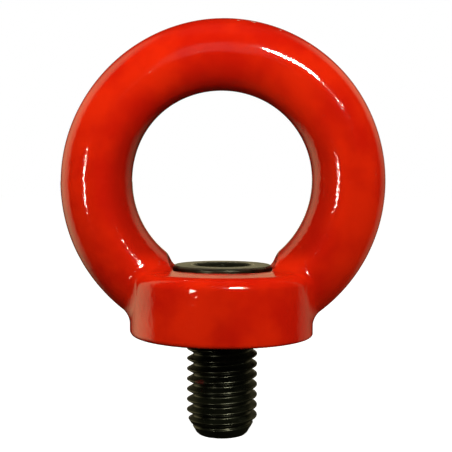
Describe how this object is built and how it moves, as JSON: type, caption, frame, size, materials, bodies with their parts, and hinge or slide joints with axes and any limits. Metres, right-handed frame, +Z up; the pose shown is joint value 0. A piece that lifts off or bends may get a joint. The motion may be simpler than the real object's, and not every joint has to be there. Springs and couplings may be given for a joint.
{
  "type": "swivel eye bolt",
  "caption": "Swivel lifting eye bolt: a forged ring on a round collar that turns on a black hexagon-socket shoulder screw with a metric thread.",
  "frame": {"origin": "on the screw's axis, in the plane that the collar seats on", "axes": "+Z up the screw's axis towards the ring, +Y through the ring's hole, +X across the ring"},
  "size_m": [0.055, 0.031, 0.0704],
  "materials": {
    "eye_paint": "glossy orange-red enamel over forged steel, with slight orange peel",
    "black_steel": "black oxide with a faint oily olive sheen",
    "spring_steel": "phosphated spring steel, satin"
  },
  "bodies": {
    "screw": {"socket_screw": "black_steel", "snap_ring": "spring_steel"},
    "eye": {"eye_body": "eye_paint"}
  },
  "joints": [
    {"name": "eye_swivel", "type": "hinge", "parent": "screw", "child": "eye", "pos_m": [0, 0, 0], "axis": [0, 0, 1], "continuous": true}
  ]
}
